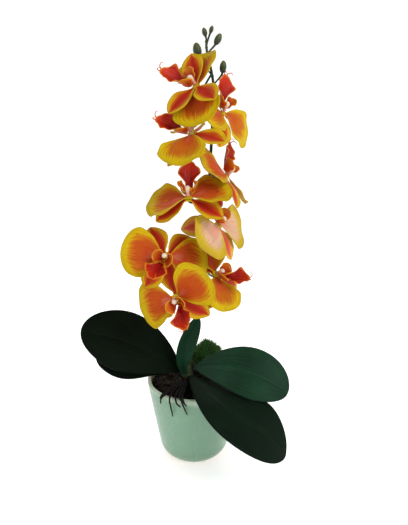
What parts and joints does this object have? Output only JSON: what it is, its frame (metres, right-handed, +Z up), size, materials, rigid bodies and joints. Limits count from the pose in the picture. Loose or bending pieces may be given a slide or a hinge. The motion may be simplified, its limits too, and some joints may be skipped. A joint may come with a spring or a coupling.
{
  "type": "potted orchid",
  "caption": "Potted moth orchid: strap leaves, a tall spike of open flowers and buds, wiry aerial roots and moss, standing in a round-footed glazed pot.",
  "frame": {"origin": "on the pot's axis, at its flat underside", "axes": "+Z up the pot's axis; -Y towards the side most flowers face; +X to the right as seen from that side"},
  "size_m": [0.2387, 0.1777, 0.493],
  "materials": {
    "petal": "matte",
    "sepal": "matte",
    "lip": "satin",
    "column": "satin",
    "leaf": "satin",
    "stem": "matte",
    "bud": "satin",
    "root": "matte",
    "glaze": "gloss",
    "bark": "matte",
    "moss": "matte"
  },
  "bodies": {
    "root": {"pot": "glaze", "potting_mix": "bark", "moss": "moss", "crown": "stem", "spike": "stem", "leaf_1": "leaf", "leaf_2": "leaf", "leaf_3": "leaf", "leaf_4": "leaf", "leaf_5": "leaf", "flower_1_petals": "petal", "flower_1_sepals": "sepal", "flower_1_column": "column", "flower_1_lip": "lip", "flower_2_petals": "petal", "flower_2_sepals": "sepal", "flower_2_column": "column", "flower_2_lip": "lip", "flower_3_petals": "petal", "flower_3_sepals": "sepal", "flower_3_column": "column", "flower_3_lip": "lip", "flower_4_petals": "petal", "flower_4_sepals": "sepal", "flower_4_column": "column", "flower_4_lip": "lip", "flower_5_petals": "petal", "flower_5_sepals": "sepal", "flower_5_column": "column", "flower_5_lip": "lip", "flower_6_petals": "petal", "flower_6_sepals": "sepal", "flower_6_column": "column", "flower_6_lip": "lip", "flower_7_petals": "petal", "flower_7_sepals": "sepal", "flower_7_column": "column", "flower_7_lip": "lip", "flower_8_petals": "petal", "flower_8_sepals": "sepal", "flower_8_column": "column", "flower_8_lip": "lip", "flower_9_petals": "petal", "flower_9_sepals": "sepal", "flower_9_column": "column", "flower_9_lip": "lip", "bud_1": "bud", "bud_2": "bud", "bud_3": "bud", "bud_4": "bud", "bud_5": "bud", "root_1": "root", "root_2": "root", "root_3": "root", "root_4": "root", "root_5": "root", "root_6": "root"}
  },
  "joints": []
}
